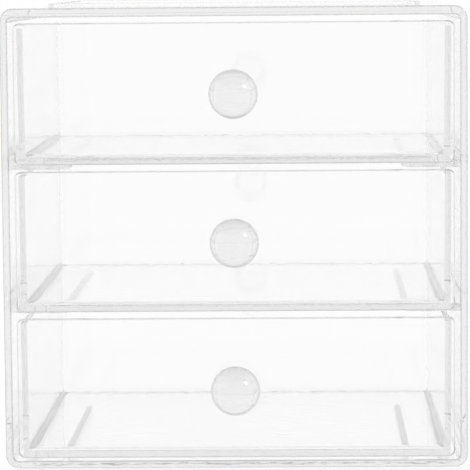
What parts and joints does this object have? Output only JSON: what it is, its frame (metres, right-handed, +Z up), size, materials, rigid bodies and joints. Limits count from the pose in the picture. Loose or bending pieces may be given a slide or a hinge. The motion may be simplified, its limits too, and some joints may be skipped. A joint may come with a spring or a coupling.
{
  "type": "three-drawer organizer",
  "caption": "Clear acrylic desktop organizer: an open-fronted case with stacked sliding drawers, ball knobs and a raised stacking lip.",
  "frame": {"origin": "on the resting surface, under the middle of the whole object, knobs included", "axes": "+Z up; -Y towards the open front and the way the drawers pull out; +X to the right seen from the front"},
  "size_m": [0.178, 0.1822, 0.1809],
  "materials": {
    "clear_case": "polished clear",
    "clear_drawer": "polished clear",
    "clear_knob": "polished clear",
    "clear_pad": "clear, soft"
  },
  "bodies": {
    "case": {"case_sleeve": "clear_case", "case_back": "clear_case", "stacking_lip": "clear_case", "ledge_upper_left": "clear_case", "ledge_upper_right": "clear_case", "ledge_lower_left": "clear_case", "ledge_lower_right": "clear_case", "floor_rail_left": "clear_case", "floor_rail_right": "clear_case", "foot_front_left": "clear_case", "foot_front_right": "clear_case", "foot_back_left": "clear_case", "foot_back_right": "clear_case"},
    "drawer_bottom": {"drawer_tray_bottom": "clear_drawer", "knob_bottom": "clear_knob", "knob_pad_bottom": "clear_pad"},
    "drawer_middle": {"drawer_tray_middle": "clear_drawer", "knob_middle": "clear_knob", "knob_pad_middle": "clear_pad"},
    "drawer_top": {"drawer_tray_top": "clear_drawer", "knob_top": "clear_knob", "knob_pad_top": "clear_pad"}
  },
  "joints": [
    {"name": "drawer_bottom_slide", "type": "slide", "parent": "case", "child": "drawer_bottom", "axis": [0, -1, 0], "range_m": [0, 0.125]},
    {"name": "drawer_middle_slide", "type": "slide", "parent": "case", "child": "drawer_middle", "axis": [0, -1, 0], "range_m": [0, 0.125]},
    {"name": "drawer_top_slide", "type": "slide", "parent": "case", "child": "drawer_top", "axis": [0, -1, 0], "range_m": [0, 0.125]}
  ]
}
